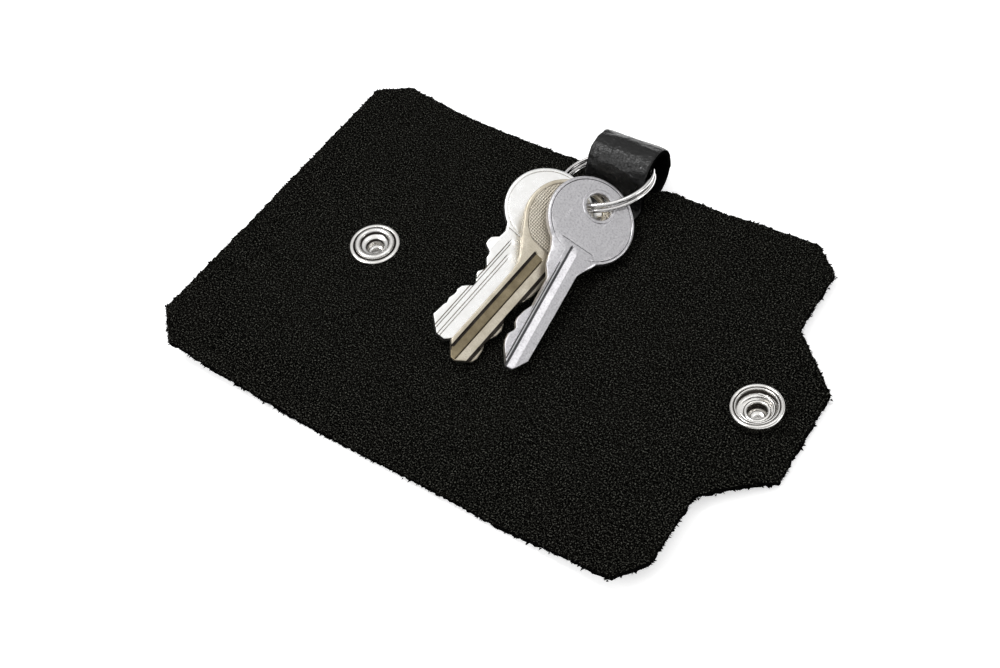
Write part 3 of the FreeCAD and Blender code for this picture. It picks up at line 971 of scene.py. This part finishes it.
def buildSocket():
    at = seat("right_fold_outer", socket["fromFold"], socket["tilt"], 1)
    r, h = socket["radius"], socket["height"]
    cup = [
        (2.62, -0.03), (r - 0.9, -0.03), (r - 0.25, 0.2), (r, 0.8), (r, h - 0.6), (r - 0.12, h - 0.15),
        (r - 0.42, h + 0.03), (r - 0.78, h - 0.02), (r - 0.9, h - 0.2), (r - 0.92, h - 0.5),
        (r - 1.06, h - 0.5), (r - 1.08, h - 0.25), (r - 1.22, h - 0.14), (r - 1.42, h - 0.2),
        (r - 1.5, h - 0.42), (r - 1.45, h - 0.7), (r - 1.25, 1.1), (r - 1.35, 0.65), (r - 1.7, 0.4),
        (2.62, 0.38),
    ]
    # painted shade in the rim groove and on the inner wall
    shadeBoxes = ((r - 1.07, r - 0.9, h - 0.55, h - 0.2), (r - 1.55, r - 1.2, 0.8, h - 0.5))
    made = spin("socketCup", rounded(cup, 1), at, shadeBoxes=shadeBoxes)
    dress(made, "right_panel", "snap_socket", "plated_metal")
    tube = [
        (axisR, low - 0.9), (1.6, low - 0.85), (2.15, low - 0.1), (2.15, 0.5), (2.22, 0.72), (2.45, 0.86),
        (2.75, 0.84), (2.98, 0.66), (3.0, 0.5), (2.9, 0.44), (2.5, 0.42), (2.5, low), (6.1, low),
        (6.2, low - 0.2), (6.0, low - 0.6), (5.2, low - 0.95), (3.4, low - 1.18), (1.4, low - 1.25),
        (axisR, low - 1.26),
    ]
    # painted shade in the bore
    made = spin("socketCap", rounded(tube, 2, False), at, shadeBoxes=((2.0, 2.2, -1.2, 0.45),), closed=False)
    dress(made, "right_panel", "snap_cap", "plated_metal")
    buildSpring(at)


def buildRivet():
    at = Matrix.Translation((loop["x"], rivet["y"], 0.0))
    top = blank["thick"] + loop["thick"]
    cap = [
        (axisR, top + 0.7), (1.58, top + 0.7), (1.58, top), (3.9, top), (4.0, top + 0.2), (3.7, top + 0.55),
        (2.6, top + 0.92), (1.2, top + 1.08), (axisR, top + 1.1),
    ]
    made = spin("rivetCap", rounded(cap, 2, False), at, rivet["sides"], closed=False)
    dress(made, "middle", "loop_rivet_cap", "plated_metal")
    post = [
        (axisR, 0.02), (3.6, 0.02), (3.95, 0.2), (3.98, 0.5), (3.8, 0.68), (1.55, 0.7), (1.5, 1.0),
        (1.5, top + 0.55), (axisR, top + 0.6),
    ]
    made = spin("rivetPost", rounded(post, 2, False), at, rivet["sides"], closed=False)
    dress(made, "middle", "loop_rivet_post", "plated_metal")


buildStud()
buildSocket()
buildRivet()
print("press stud and rivet built")


# keys: drawn flat, hole at the origin, tip towards -y, then turned onto the ring
keyForm = {
    "radius": 11.3,
    "toBow": 4.6,
    "face": 0.9,
    "bowStep": 2.5,
    "sideStep": 0.12,
    "straight": 0.006,
    "edgeStep": 0.7,
    "edgeRings": (0.05, 0.12, 0.22),
    "rimRings": (-1.0, -0.5, 0.0, 0.5, 1.0),
    "holeRings": (0.0, 0.06, 0.15, 0.28, 0.45, 0.83, 0.89, 0.95, 1.02, 1.1),
    "bowSides": 150,
    "holeSides": 72,
    "holeSlack": 0.0015,      # share of the hole's radius
    "columns": (-6.0, 6.1, 0.75),      # points over the blade: first, last, step
    "columnReach": 7,
    "rows": (-11.5, -0.42),
    "plateRows": (0.15, 0.05, -0.03, -0.11, -0.2),
    "plateColumns": (0.3, 0.25),
    "panelRows": (0.0, 0.15, 0.3),
    "panelColumns": (-6.0, 6.0, 0.4),
    "panelIn": (0.2, 0.5),      # dots end this far inside the panel, and this far off the hole
    # cuts deeper than this get the darker groove colours and painted shade
    "darkDeep": 0.1,
    "line": (0.12, 0.09, 0.03),      # pressed line beside the plate: depth, half width, place
    "plate": (0.09, 0.14, 0.1, 0.36),      # rise, ease, overlap, flare
    "neck": (13.5, 1.5),
    "panelEase": (0.25, 0.3),
    "holeRim": (0.1, 0.12, 0.06, 0.09),      # height, ease, groove's place and half width
    "bladeFrom": -17.0,
    "bladeEdge": (0.22, 0.2),
    "holeEdge": (0.45, 0.4),
    "holeUnder": (0.83, 0.7),
    "roundness": 0.96,
    "sharp": 30.0,
}
# a side's points are place along the key and distance from its middle line; a cut is a profile
# of offset and depth, then where it starts and how long it takes to reach its depth
frontKey = {
    "joint": "key_front_swing",
    "body": "key_front",
    "slot": "grey_nickel",
    "turn": (5.8, 35.5, 4.2),
    "right": (
        (-10, 7.5), (-12.8, 6.8), (-15, 5.9), (-16, 5.3), (-17.2, 4.5), (-18.4, 3.8), (-19.4, 3.4),
        (-30, 3.3), (-44.2, 3.05), (-47.2, 1.3), (-47.9, 0.6),
    ),
    "left": (
        (-10, 7.5), (-12.8, 6.8), (-14.6, 6.1), (-15.8, 5.5), (-17.5, 5.0), (-20.6, 4.4), (-23.6, 2.5),
        (-31.6, 2.4), (-33.8, 3.4), (-36.2, 4.0), (-37.4, 3.9), (-38.4, 3.2), (-39.2, 3.2), (-40.6, 4.0),
        (-42.4, 3.9), (-43.8, 3.4), (-47.3, 1.3), (-47.9, 0.7),
    ),
    "plate": (-12.4, -4.4, 4.3),
    "edge": (0.62, 0.5),
    "rim": (0.85, 0.16, 0.05),
    "rimLine": -12.5,
    "hole": (0.05, -0.42, 3.4),
    "holeRim": 0.95,
    "carve": (
        (((-6.5, 1.05), (-2.35, 0.48), (-2.15, 0.0)), -12.6, 7.0),
        (((-1.95, 0.0), (-1.82, 0.34), (-1.7, 0.0)), -18.0, 4.0),
        (((-1.4, 0.0), (-1.2, 0.62), (-0.75, 0.62), (0.9, 0.0)), -13.4, 1.4),
    ),
    "under": ((((-0.6, 0.0), (-0.4, 0.5), (0.8, 0.5), (1.0, 0.0)), -15.0, 1.5),),
    "materials": (greyNickel, grooveShade, greyNickel),
    # dark grey painted shade in the grooves
    "tarnishAndShade": ((-1.98, -1.66), (-1.42, -0.7)),
    "paintedShade": (),
    "panel": None,
}
middleKey = {
    "joint": "key_middle_swing",
    "body": "key_middle",
    "slot": "nickel_silver",
    "turn": (-8.0, 34.0, 9.9),
    "right": (
        (-10, 7.5), (-12.8, 6.6), (-15.5, 5.6), (-18, 5.0), (-21, 5.1), (-24.5, 5.1), (-26.5, 4.5),
        (-28.6, 3.7), (-33, 3.4), (-34.3, 4.1), (-36.2, 5.0), (-38, 4.9), (-39.3, 4.2), (-41.5, 4.0),
        (-43, 4.7), (-45.2, 5.0), (-46.6, 4.6), (-48.8, 1.9), (-49.2, 1.3),
    ),
    "left": (
        (-10, 9.6), (-12, 8.6), (-14, 7.3), (-15.6, 6.2), (-17.2, 4.9), (-18.8, 3.8), (-20.4, 3.15),
        (-22.5, 2.75), (-27, 2.65), (-46, 2.6), (-48.6, 0.4), (-49.2, -0.2),
    ),
    "plate": None,
    "edge": (0.45, 0.35),
    "rim": (0.75, 0.14, 0.0),
    "rimLine": None,
    "hole": (0.9, 1.0, 4.5),
    "holeRim": 0.0,
    "carve": (
        (((-1.75, 0.0), (-1.5, 0.68), (-0.95, 0.66), (0.9, 0.46), (1.1, 0.5), (1.3, 0.0)), -16.0, 1.3),
        (((3.3, 0.0), (3.42, 0.7), (4.05, 0.7), (4.3, 0.42), (6.0, 0.5)), -16.5, 4.0),
    ),
    "under": ((((-0.2, 0.0), (0.0, 0.5), (1.2, 0.5), (1.4, 0.0)), -17.0, 1.5),),
    "materials": (nickelSilver, grooveBrassShade, dottedSilver),
    # the groove floor keeps a brass tone darkened as painted shade; the walls and the step down to the teeth
    # get painted shade
    "tarnishAndShade": ((-1.1, 1.02),),
    "paintedShade": ((-1.72, -1.1), (1.02, 1.28), (3.3, 4.15)),
    "panel": (10.45, -14.2, 0.14),
}
rearKey = {
    "joint": "key_rear_swing",
    "body": "key_rear",
    "slot": "bright_nickel",
    "turn": (-6.2, 26.0, 7.0),
    "right": (
        (-10, 7.5), (-12.8, 6.8), (-14.4, 6.0), (-15.6, 5.4), (-19, 5.2), (-20.4, 3.7), (-46, 3.4),
        (-48.4, 0.9), (-47.7, 0.8),
    ),
    "left": (
        (-10, 7.5), (-12.8, 6.8), (-14.4, 5.7), (-15.6, 5.1), (-16.6, 4.8), (-18.5, 4.8), (-19.2, 5.6),
        (-20.0, 6.3), (-21.2, 6.4), (-22.2, 6.1), (-22.8, 4.9), (-23.4, 4.0), (-25, 3.7), (-26.7, 2.3),
        (-27.7, 2.3), (-29.0, 3.1), (-29.5, 3.1), (-31.5, 1.7), (-32.5, 1.7), (-34.6, 3.6), (-36, 3.9),
        (-36.8, 3.6), (-37.6, 3.7), (-39, 4.0), (-40.2, 3.6), (-41.0, 3.9), (-44.6, 4.2), (-47.4, 1.0),
        (-47.7, 0.6),
    ),
    "plate": (-15.2, -4.6, 6.5),
    "edge": (0.45, 0.35),
    "rim": (0.95, 0.14, 0.0),
    "rimLine": None,
    "hole": (0.0, 0.0, 3.5),
    "holeRim": 0.0,
    "carve": (
        (((-7.5, 0.24), (-4.3, 0.24), (-4.15, 0.0)), -18.4, 0.6),
        (((-2.35, 0.0), (-2.15, 0.42), (-1.75, 0.42), (-1.5, 0.0)), -17.2, 2.5),
        (((-0.55, 0.0), (-0.35, 0.3), (0.15, 0.3), (0.4, 0.0)), -20.5, 3.0),
    ),
    "under": ((((-0.6, 0.0), (-0.4, 0.5), (0.8, 0.5), (1.0, 0.0)), -19.0, 1.5),),
    "materials": (brightNickel, grooveNickelShade, brightNickel),
    # brownish painted shade on the groove walls
    "tarnishAndShade": ((-2.38, -2.12), (-1.78, -1.48), (-0.57, -0.34), (0.12, 0.42)),
    "paintedShade": (),
    "panel": None,
}


# drops points that lie on a straight run
def thin(points, far):
    if len(points) < 3:
        return points
    a, b = np.array(points[0]), np.array(points[-1])
    run = b - a
    length = max(np.hypot(*run), 1e-9)
    gaps = [abs(run[0] * (p[1] - a[1]) - run[1] * (p[0] - a[0])) / length for p in points[1:-1]]
    worst = int(np.argmax(gaps))
    if gaps[worst] < far:
        return [points[0], points[-1]]
    return thin(points[: worst + 2], far)[:-1] + thin(points[worst + 1:], far)


def keySide(table, sign):
    radius, middle = keyForm["radius"], -keyForm["toBow"]
    ys, xs = zip(*table)
    run = []
    for y in np.arange(middle, ys[-1] - tiny, -keyForm["sideStep"]):
        bow = math.sqrt(max(radius ** 2 - (y - middle) ** 2, 0.0))
        side = np.interp(-y, [-v for v in ys], xs) if y <= ys[0] else 0.0
        run.append((sign * (max(bow, side) if bow > 0.0 else side), y))
    run.append((sign * xs[-1], ys[-1]))
    return thin(run, keyForm["straight"])


def keyOutline(key):
    radius, middle = keyForm["radius"], -keyForm["toBow"]
    turns = np.radians(np.arange(0, 180.1, keyForm["bowStep"]))
    top = [(radius * math.cos(a), middle + radius * math.sin(a)) for a in turns]
    out = []
    for p in top[:-1] + keySide(key["left"], -1) + keySide(key["right"], 1)[:0:-1]:
        if not out or math.dist(p, out[-1]) > 0.02:
            out.append(p)
    return np.array(out)


def refine(points, step):
    out = []
    for a, b in zip(points, np.roll(points, -1, axis=0)):
        count = max(1, int(np.hypot(*(b - a)) / step))
        out += [a + (b - a) * k / count for k in range(count)]
    return np.array(out)


def inset(points, by):
    before = points - np.roll(points, 1, axis=0)
    after = np.roll(points, -1, axis=0) - points
    n0 = np.stack([-before[:, 1], before[:, 0]], 1) / np.hypot(*before.T)[:, None]
    n1 = np.stack([-after[:, 1], after[:, 0]], 1) / np.hypot(*after.T)[:, None]
    mitre = n0 + n1
    mitre /= np.maximum(np.hypot(*mitre.T), tiny)[:, None]
    return points + mitre * (by / np.maximum((mitre * n0).sum(1), 0.45))[:, None]


def distanceTo(outline, points):
    best = np.full(len(points), np.inf)
    for a, b in zip(outline, np.roll(outline, -1, axis=0)):
        d = b - a
        t = np.clip(((points - a) @ d) / max(d @ d, 1e-12), 0, 1)
        best = np.minimum(best, np.hypot(*(points - a - t[:, None] * d).T))
    return best


def insideOf(outline, points):
    odd = np.zeros(len(points), bool)
    x, y = points.T
    for a, b in zip(outline, np.roll(outline, -1, axis=0)):
        if abs(a[1] - b[1]) < 1e-12:
            continue
        crosses = (a[1] > y) != (b[1] > y)
        odd ^= crosses & (x < (b[0] - a[0]) * (y - a[1]) / (b[1] - a[1]) + a[0])
    return odd


def carved(cuts, x, y):
    deep = np.zeros_like(x)
    for profile, start, taper in cuts:
        offsets, depths = zip(*profile)
        across = np.interp(x, offsets, depths)
        ramp = np.sqrt(np.clip((start - y) / taper, 0.0, 1.0))
        here = np.maximum(across - max(depths) * (1 - ramp), 0.0)
        deep = np.maximum(deep, np.where(y < start, here, 0.0))
    return deep


def dip(off, wide):
    return np.exp(-(off / wide) ** 2)


def roundOff(gap, wide, drop):
    return drop * (1 - np.sqrt(1 - (1 - np.clip(gap / wide, 0, 1)) ** 2 * keyForm["roundness"]))


def fromHole(key, x, y):
    holeX, holeY, holeR = key["hole"]
    return np.hypot(x - holeX, y - holeY) - holeR


def plateRelief(key, x, y):
    line, left, right = key["plate"]
    deep, wide, past = keyForm["line"]
    rise, ease, over, flare = keyForm["plate"]
    start = smooth((x - left + over) / ease)
    pressed = deep * dip(line - y - past, wide) * start * smooth((right + over - x) / ease)
    end = smooth((right + flare * (line - y) - x) / ease)
    return rise * smooth((line - y) / ease) * start * end - pressed


def topRelief(key, x, y):
    z = plateRelief(key, x, y) if key["plate"] else np.zeros_like(x)
    fromBow = np.hypot(x, y + keyForm["toBow"])
    if key["panel"]:
        reach, floor, deep = key["panel"]
        easeBow, easeFoot = keyForm["panelEase"]
        z -= deep * smooth((reach - fromBow) / easeBow) * smooth((y - floor) / easeFoot)
    else:
        wide, step, rise = key["rim"]
        start, fade = keyForm["neck"]
        bow = keyForm["radius"] - fromBow
        onBow = 1 - smooth((-y - start) / fade)
        z += (rise * smooth((wide - bow) / step) - keyForm["line"][0] * dip(bow - wide, step * 0.5)) * onBow
    if key["holeRim"]:
        high, ease, past, wide = keyForm["holeRim"]
        off = fromHole(key, x, y) - key["holeRim"]
        z += high * smooth(-off / ease) - high * dip(off - past, wide)
    return z


def keyHeight(key, x, y, gap, cuts, topSide):
    z = np.full_like(x, keyForm["face"])
    bladeWide, bladeDrop = keyForm["bladeEdge"]
    wide, drop = key["edge"]
    onBlade = y < keyForm["bladeFrom"]
    if topSide:
        z += topRelief(key, x, y)
        drop = np.where(onBlade, bladeDrop, drop)
    else:
        drop = bladeDrop
    z -= roundOff(gap, np.where(onBlade, bladeWide, wide), drop)
    z -= roundOff(fromHole(key, x, y), *keyForm["holeEdge" if topSide else "holeUnder"])
    return z - carved(cuts, x, y)


def circle(radius, x, y, sides):
    a = np.arange(sides) * 2 * math.pi / sides
    return np.stack([x + radius * np.cos(a), y + radius * np.sin(a)], 1)


def keyRings(key, outline):
    radius = keyForm["radius"]
    rimAt, rimStep, _ = key["rim"]
    widths = [key["edge"][0] * t for t in (0.7, 1.0)] + [rimAt + rimStep * t for t in keyForm["rimRings"]]
    if key["panel"]:
        panelAt = radius - key["panel"][0]
        widths += [panelAt, panelAt + keyForm["panelEase"][0]]
    holeX, holeY, holeR = key["hole"]
    rings = [outline] + [inset(outline, by) for by in keyForm["edgeRings"]]
    rings += [circle(radius - w, 0, -keyForm["toBow"], keyForm["bowSides"]) for w in widths]
    return rings + [circle(holeR + w, holeX, holeY, keyForm["holeSides"]) for w in keyForm["holeRings"]]


# points of a key's face, and the lines between them that its triangles keep
def keySpots(key, outline):
    spots, edges = [], []
    for points in keyRings(key, outline):
        here, count = len(spots), len(points)
        spots += [tuple(p) for p in points]
        edges += [(here + k, here + (k + 1) % count) for k in range(count)]
    breaks = {offset for profile, _, _ in key["carve"] + key["under"] for offset, _ in profile}
    columns = breaks | set(np.arange(*keyForm["columns"]))
    columns = sorted(x for x in columns if abs(x) <= keyForm["columnReach"])
    above = {}
    first, step = keyForm["rows"]
    for y in np.arange(first, outline[:, 1].min(), step):
        for x in columns:
            if x in breaks and x in above:
                edges.append((above[x], len(spots)))
            above[x] = len(spots)
            spots.append((x, y))
    if key["plate"]:
        line, left, right = key["plate"]
        over, step = keyForm["plateColumns"]
        for up in keyForm["plateRows"]:
            spots += [(x, line + up) for x in np.arange(left - over, right + over, step)]
    if key["panel"]:
        floor = key["panel"][1]
        for up in keyForm["panelRows"]:
            spots += [(x, floor + up) for x in np.arange(*keyForm["panelColumns"])]
    return spots, edges


def keyMesh(key, outline):
    spots, edges = keySpots(key, outline)
    flatSpots = [Vector((float(x), float(y))) for x, y in spots]
    placed, _, triangles, _, _, _ = delaunay_2d_cdt(flatSpots, edges, [], 0, 1e-5)
    at = np.array([tuple(p) for p in placed])
    tri = np.array([t for t in triangles if len(t) == 3])
    centre = at[tri].mean(1)
    holeSlack = key["hole"][2] * keyForm["holeSlack"]
    tri = tri[insideOf(outline, centre) & (fromHole(key, *centre.T) > -holeSlack)]
    a, b, c = [at[tri[:, k]] for k in range(3)]
    cross = np.cross(b - a, c - a)
    tri[cross < 0] = tri[cross < 0][:, ::-1]
    tri = tri[np.abs(cross) > 1e-9]
    used = np.unique(tri)
    renumber = np.full(len(at), -1)
    renumber[used] = np.arange(len(used))
    return at[used], renumber[tri]


# material slots of the upper face: 1 groove tone with painted shade, 2 panel, 3 painted shade
def keySlots(key, x, y, deep):
    slots = np.zeros(len(x), int)
    for slot, ranges in ((1, key["tarnishAndShade"]), (3, key["paintedShade"])):
        for a, b in ranges:
            slots[(deep > keyForm["darkDeep"]) & (x > a) & (x < b)] = slot
    fromBow = np.hypot(x, y + keyForm["toBow"])
    # the pressed line beside the plate and the rim line get painted shade
    if key["plate"]:
        line, left, right = key["plate"]
        _, wide, past = keyForm["line"]
        slots[(np.abs(y - line + past) < wide) & (x > left) & (x < right)] = 1
    if key["rimLine"]:
        rimAt, rimStep, _ = key["rim"]
        offRim = np.abs(keyForm["radius"] - fromBow - rimAt)
        slots[(offRim < rimStep * 0.5) & (y > key["rimLine"])] = 1
    if key["panel"]:
        reach, floor, _ = key["panel"]
        within, offHole = keyForm["panelIn"]
        onPanel = (fromBow < reach - within) & (y > floor + within)
        slots[onPanel & (fromHole(key, x, y) > offHole)] = 2
    return slots


def buildKey(name, key):
    outline = refine(keyOutline(key), keyForm["edgeStep"])
    at, tri = keyMesh(key, outline)
    gap = distanceTo(outline, at)
    x, y = at.T
    heights = (
        keyHeight(key, x, y, gap, key["carve"], True),
        -keyHeight(key, x, y, gap, key["under"], False),
    )
    yaw, roll, pitch = [Matrix.Rotation(math.radians(a), 4, axis) for a, axis in zip(key["turn"], "ZYX")]
    placed = Matrix.Translation(jointAt[key["joint"]]) @ pitch @ roll @ yaw
    points = [tuple(placed @ Vector(p)) for z in heights for p in zip(x, y, z)]
    count = len(at)
    sides = {(int(t[k]), int(t[(k + 1) % 3])): None for t in tri for k in range(3)}
    walls = [(b, a, a + count, b + count) for a, b in sides if (b, a) not in sides]
    faces = [tuple(int(v) for v in t) for t in tri] + [tuple(int(v) + count for v in t[::-1]) for t in tri]
    deep = carved(key["carve"], x, y)[tri].mean(1)
    slots = list(keySlots(key, *at[tri].mean(1).T, deep)) + [0] * (len(tri) + len(walls))
    flat = list(zip(x, y)) + list(zip(x + 30, y))
    # the last slot is the painted shade metal
    materials = [*key["materials"], seamShade]
    made = makePiece(name, points, faces + walls, materials, flat, slots, keyForm["sharp"], True)
    dress(made, key["body"], key["body"], key["slot"])


buildKey("frontKey", frontKey)
buildKey("middleKey", middleKey)
buildKey("rearKey", rearKey)
print("keys built")


# studio: white floor, a pale ceiling that darkens towards the walls, four soft lamps
studio = {
    "ceiling": 1.12,
    "wall": 0.08,
    "wallFoot": 0.12,
    "sweep": (0.09, 0.12),      # the white floor runs up the foot of the wall
    "floorReach": 25.0,
    "floorColor": 0.86,
    "floorGlow": 0.52,
    "floorRough": 0.9,
    "lamps": (      # name, place, aim, size, power
        ("overhead", (0.03, 0.28, 0.88), (0.0, 0.0, 0.0), 0.26, 0.22),
        ("frontLeft", (-0.40, -0.60, 0.70), (0.0, 0.04, 0.01), 0.46, 1.8),
        ("aboveLeft", (-0.43, -0.03, 0.92), (0.0, 0.04, 0.01), 0.28, 2.5),
        ("rightStrip", (0.95, 0.33, 0.20), (0.0, 0.0, 0.0), 0.36, 1.0),
    ),
}
white = (1, 1, 1, 1)


def setWorld():
    world = bpy.data.worlds.new("studioWorld")
    scene.world = world
    world.use_nodes = True
    tree = world.node_tree
    back = tree.nodes["Background"]
    back.inputs["Color"].default_value = white
    around = tree.nodes.new("ShaderNodeTexCoord").outputs["Generated"]
    height = node(tree, "ShaderNodeSeparateXYZ", {0: around}).outputs["Z"]
    rise = mapRange(tree, height, studio["wallFoot"], 1.0, studio["wall"], studio["ceiling"])
    foot = mapRange(tree, height, *studio["sweep"], 1.0, 0.0)
    tree.links.new(math2(tree, "MAXIMUM", rise, foot), back.inputs["Strength"])


def floorWhite():
    made = bpy.data.materials.new("floorWhite")
    made.use_nodes = True
    tree = made.node_tree
    shader = tree.nodes["Principled BSDF"]
    shader.inputs["Base Color"].default_value = (*grey(studio["floorColor"]), 1)
    shader.inputs["Roughness"].default_value = studio["floorRough"]
    shader.inputs["Specular IOR Level"].default_value = 0.0
    path = tree.nodes.new("ShaderNodeLightPath").outputs
    seen = math2(tree, "MAXIMUM", path["Is Camera Ray"], path["Is Glossy Ray"])
    seen = math2(tree, "MAXIMUM", seen, path["Is Transmission Ray"])
    shader.inputs["Emission Color"].default_value = white
    tree.links.new(math2(tree, "MULTIPLY", seen, studio["floorGlow"]), shader.inputs["Emission Strength"])
    return made


def buildFloor():
    far = studio["floorReach"]
    mesh = bpy.data.meshes.new("floor")
    mesh.from_pydata([(-far, -far, 0), (far, -far, 0), (far, far, 0), (-far, far, 0)], [], [(0, 1, 2, 3)])
    mesh.materials.append(floorWhite())
    floor = bpy.data.objects.new("floor", mesh)
    scene.collection.objects.link(floor)


def addLamp(name, place, aim, size, power):
    data = bpy.data.lights.new(name, "AREA")
    data.shape = "DISK"
    data.size = size
    data.energy = power
    lamp = bpy.data.objects.new(name, data)
    lamp.location = place
    lamp.rotation_euler = (Vector(aim) - Vector(place)).to_track_quat("-Z", "Y").to_euler()
    scene.collection.objects.link(lamp)


setWorld()
buildFloor()
for lampLook in studio["lamps"]:
    addLamp(*lampLook)
print("studio set")
